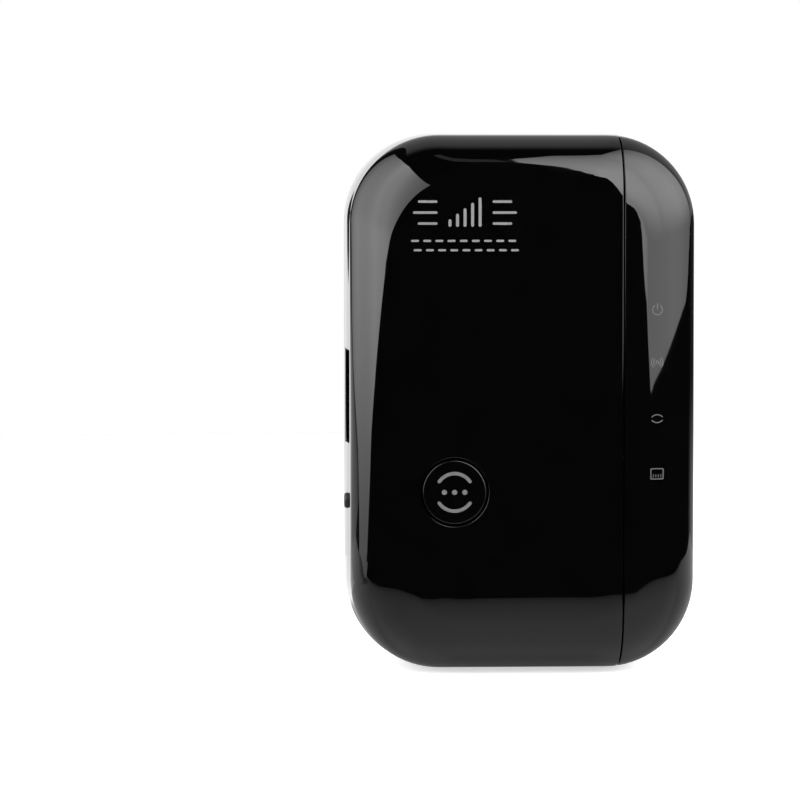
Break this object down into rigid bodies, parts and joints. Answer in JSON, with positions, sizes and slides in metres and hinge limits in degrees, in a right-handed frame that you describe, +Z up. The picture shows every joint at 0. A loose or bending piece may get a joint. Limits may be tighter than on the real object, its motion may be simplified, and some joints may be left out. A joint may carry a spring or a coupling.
{
  "type": "wifi range extender",
  "caption": "Plug-in wi-fi range extender: rounded glossy case with a push button, an indicator light panel, a side network socket and a round-pin wall plug.",
  "frame": {"origin": "middle of the plug's end face, between the two pins, where it meets the wall socket", "axes": "+X right as seen from the front, +Y into the wall along the pins, +Z up along the case's height"},
  "size_m": [0.0525, 0.067, 0.08],
  "materials": {
    "gloss_black": "mirror gloss",
    "smoked_black": "mirror gloss, smoked",
    "satin_black": "fine satin",
    "clear_acrylic": "clear",
    "nickel": "nickel plated, polished",
    "gold": "gold plated",
    "zinc_steel": "zinc plated",
    "tinned_steel": "tinned",
    "green_board": "green solder mask",
    "tan_board": "bare laminate",
    "chip_black": "moulded",
    "ferrite": "matt",
    "yellow_tape": "taped winding",
    "aluminium_can": "bare can",
    "black_sleeve": "shrunk sleeve over a can",
    "green_sleeve": "shrunk sleeve over a can",
    "blue_ceramic": "dipped",
    "beige_resistor": "lacquered",
    "white_plastic": "moulded",
    "led_body": "clear resin",
    "insulation": "fibre sheet",
    "silver_label": "satin foil, blank"
  },
  "bodies": {
    "case": {"front_cover": "gloss_black", "indicator_panel": "smoked_black", "back_shell": "satin_black", "plug_insert": "satin_black", "plug_pin_left": "nickel", "plug_pin_right": "nickel", "pin_sleeve_left": "satin_black", "pin_sleeve_right": "satin_black", "button_switch_body": "chip_black", "reset_switch_body": "chip_black", "light_guide": "clear_acrylic", "led_power": "led_body", "led_wireless": "led_body", "led_pairing": "led_body", "led_network": "led_body", "network_socket": "satin_black", "main_board": "green_board", "processor": "chip_black", "memory_chip": "chip_black", "crystal": "nickel", "network_transformer": "chip_black", "inductor": "ferrite", "radio_shield": "tinned_steel", "antenna_left": "nickel", "antenna_right": "nickel", "filter_capacitor": "aluminium_can", "power_header": "chip_black", "insulation_sheet": "insulation", "power_board": "tan_board", "bulk_capacitor_left": "black_sleeve", "bulk_capacitor_right": "black_sleeve", "output_capacitor": "green_sleeve", "rectifier": "chip_black", "power_controller": "chip_black", "optocoupler": "chip_black", "output_diode": "chip_black", "input_choke": "ferrite", "fuse_resistor": "beige_resistor", "safety_capacitor": "blue_ceramic", "transformer_base": "chip_black", "transformer_coil": "yellow_tape", "transformer_core": "ferrite", "case_screw_upper_left": "zinc_steel", "case_screw_lower_left": "zinc_steel", "case_screw_upper_right": "zinc_steel", "case_screw_lower_right": "zinc_steel", "main_board_screw_upper": "zinc_steel", "main_board_screw_lower": "zinc_steel", "power_board_screw_upper": "zinc_steel", "power_board_screw_lower": "zinc_steel", "rating_label": "silver_label"},
    "button": {"pairing_button": "gloss_black"},
    "button_plunger": {"button_switch_plunger": "white_plastic"},
    "reset_plunger": {"reset_switch_plunger": "satin_black"},
    "contact_springs": {"socket_contacts": "gold"}
  },
  "joints": [
    {"name": "button_press", "type": "slide", "parent": "case", "child": "button", "axis": [0, 1, 0], "range_m": [0, 0.0004], "stiffness_N_per_m": 300, "springref_m": -0.0005},
    {"name": "button_switch_press", "type": "slide", "parent": "case", "child": "button_plunger", "axis": [0, 1, 0], "range_m": [0, 0.0004]},
    {"name": "reset_press", "type": "slide", "parent": "case", "child": "reset_plunger", "axis": [1, 0, 0], "range_m": [0, 0.0003], "stiffness_N_per_m": 100, "springref_m": -0.0005},
    {"name": "contact_tilt", "type": "hinge", "parent": "case", "child": "contact_springs", "pos_m": [-0.0212, -0.0357, -0.0073], "axis": [0, 0, -1], "range_deg": [0, 9], "stiffness_Nm_per_rad": 0.0001, "springref_deg": -5.73}
  ],
  "couplings": [
    {"joint": "button_switch_press", "follows": "button_press", "ratio": 1}
  ]
}
